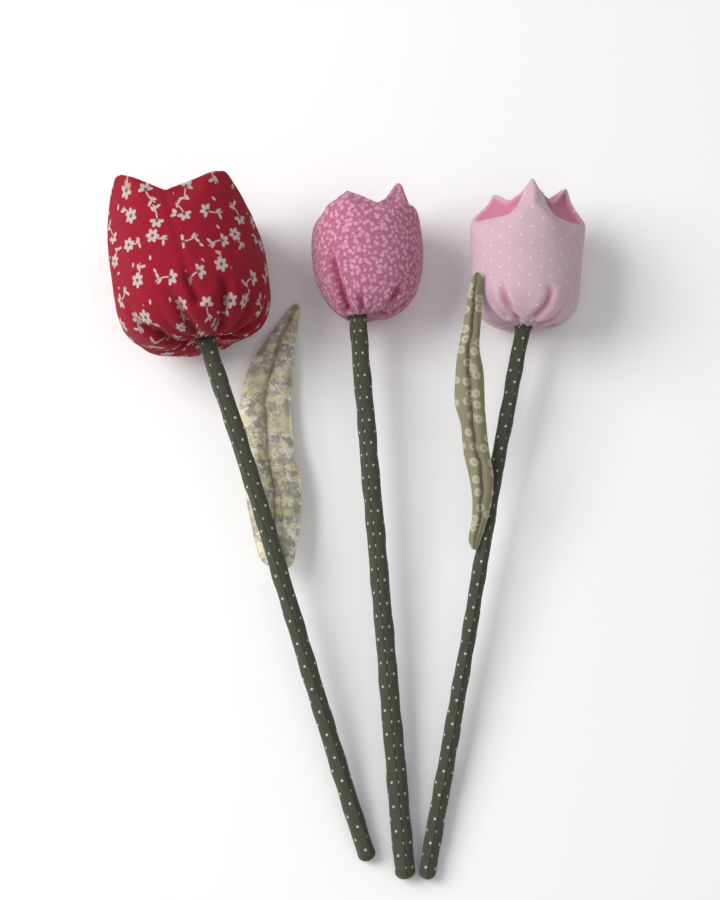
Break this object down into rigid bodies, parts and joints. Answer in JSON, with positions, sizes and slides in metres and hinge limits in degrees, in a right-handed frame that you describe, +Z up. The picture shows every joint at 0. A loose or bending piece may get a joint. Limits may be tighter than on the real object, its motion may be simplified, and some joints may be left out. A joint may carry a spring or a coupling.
{
  "type": "stuffed cloth tulip set",
  "caption": "Sewn and stuffed cotton tulips lying side by side, with padded stems on dowels and two quilted leaves.",
  "frame": {"origin": "middle of the space that the set covers on the table, at table height", "axes": "+X to the right, +Y from the feet of the stems to the flower heads, +Z up from the table"},
  "size_m": [0.2851, 0.4048, 0.0935],
  "materials": {
    "red_head_cotton": "woven cotton, red with a small cream flower print",
    "rose_head_cotton": "woven cotton, rose with a dense tiny pale flower print",
    "pale_head_cotton": "woven cotton, pale pink with white pin dots",
    "stem_cotton": "woven cotton, dark olive with white pin dots",
    "red_leaf_cotton": "woven cotton, pale grey-green floral wash",
    "pale_leaf_cotton": "woven cotton twill, olive with cream ring daisies",
    "polyester_stuffing": "loose white polyester fibre",
    "birch": "plain birch dowel",
    "thread": "polyester sewing thread"
  },
  "bodies": {
    "red_tulip": {"red_stem_cover": "stem_cotton", "red_stem_padding": "polyester_stuffing", "red_stem_dowel": "birch", "red_neck_thread": "thread", "red_head_cover": "red_head_cotton", "red_head_stuffing": "polyester_stuffing", "red_top_stitch": "thread", "red_leaf_sewing_thread": "thread"},
    "rose_tulip": {"rose_stem_cover": "stem_cotton", "rose_stem_padding": "polyester_stuffing", "rose_stem_dowel": "birch", "rose_neck_thread": "thread", "rose_head_cover": "rose_head_cotton", "rose_head_stuffing": "polyester_stuffing", "rose_top_stitch": "thread"},
    "pale_tulip": {"pale_stem_cover": "stem_cotton", "pale_stem_padding": "polyester_stuffing", "pale_stem_dowel": "birch", "pale_neck_thread": "thread", "pale_head_cover": "pale_head_cotton", "pale_head_stuffing": "polyester_stuffing", "pale_top_stitch": "thread", "pale_leaf_sewing_thread": "thread"},
    "red_leaf": {"red_leaf_upper_panel": "red_leaf_cotton", "red_leaf_lower_panel": "red_leaf_cotton", "red_leaf_wadding": "polyester_stuffing", "red_leaf_vein_thread": "thread"},
    "pale_leaf": {"pale_leaf_upper_panel": "pale_leaf_cotton", "pale_leaf_lower_panel": "pale_leaf_cotton", "pale_leaf_wadding": "polyester_stuffing", "pale_leaf_vein_thread": "thread"}
  },
  "joints": [
    {"name": "red_tulip_lift", "type": "slide", "parent": "rose_tulip", "child": "red_tulip", "axis": [0, 0, 1], "range_m": [0, 0.15]},
    {"name": "pale_tulip_lift", "type": "slide", "parent": "rose_tulip", "child": "pale_tulip", "axis": [0, 0, 1], "range_m": [0, 0.15]},
    {"name": "red_leaf_swing", "type": "hinge", "parent": "red_tulip", "child": "red_leaf", "pos_m": [-0.03844, -0.02667, 0.02104], "axis": [0.0465, 0.0952, 0.9944], "range_deg": [-6, 6]},
    {"name": "pale_leaf_lift", "type": "hinge", "parent": "pale_tulip", "child": "pale_leaf", "pos_m": [0.07564, -0.01729, 0.023], "axis": [0.9997, -0.018, 0.0136], "range_deg": [0, 35]}
  ]
}
